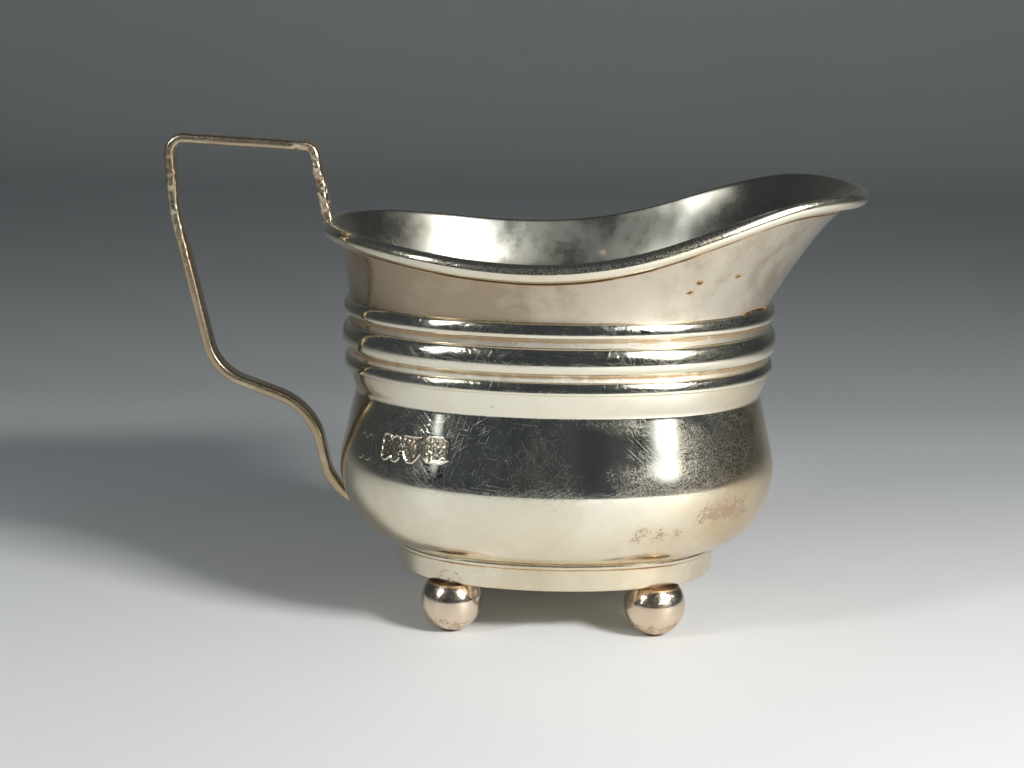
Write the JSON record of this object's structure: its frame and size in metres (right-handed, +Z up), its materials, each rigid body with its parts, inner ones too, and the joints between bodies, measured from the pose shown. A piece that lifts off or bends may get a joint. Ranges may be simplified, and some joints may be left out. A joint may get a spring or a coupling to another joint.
{
  "type": "cream jug",
  "caption": "Small oblong silver cream jug with a bellied bowl, ringed waist, flared pouring lip, angular strap handle and ball feet.",
  "frame": {"origin": "on the table plane, in the middle of the jug's overall length and width", "axes": "+X points out over the pouring lip, away from the handle; +Y is to the left of someone looking along +X; +Z is up, and the jug is mirror-symmetric about Y = 0"},
  "size_m": [0.1235, 0.0682, 0.0852],
  "materials": {
    "polished_silver": "polished silver with fine swirl scratches, cloudy warm tarnish and small dark specks",
    "girdle_silver": "polished silver wires, brown tarnish along their edges",
    "rim_silver": "worn polished silver wire, warm tarnish on its under side",
    "base_silver": "softly polished silver with rubbed tarnish and small dents",
    "foot_silver": "bright worn silver balls, golden tarnish towards the floor",
    "handle_silver": "brown-gold tarnished silver strap with rubbed bright edges"
  },
  "bodies": {
    "root": {"body_lower": "polished_silver", "neck_and_lip": "polished_silver", "lower_reed": "girdle_silver", "middle_band": "girdle_silver", "upper_reed": "girdle_silver", "rim_wire": "rim_silver", "foot_ring": "base_silver", "base_plate": "base_silver", "foot_front_left": "foot_silver", "foot_front_right": "foot_silver", "foot_back_left": "foot_silver", "foot_back_right": "foot_silver", "handle_strap": "handle_silver"}
  },
  "joints": []
}
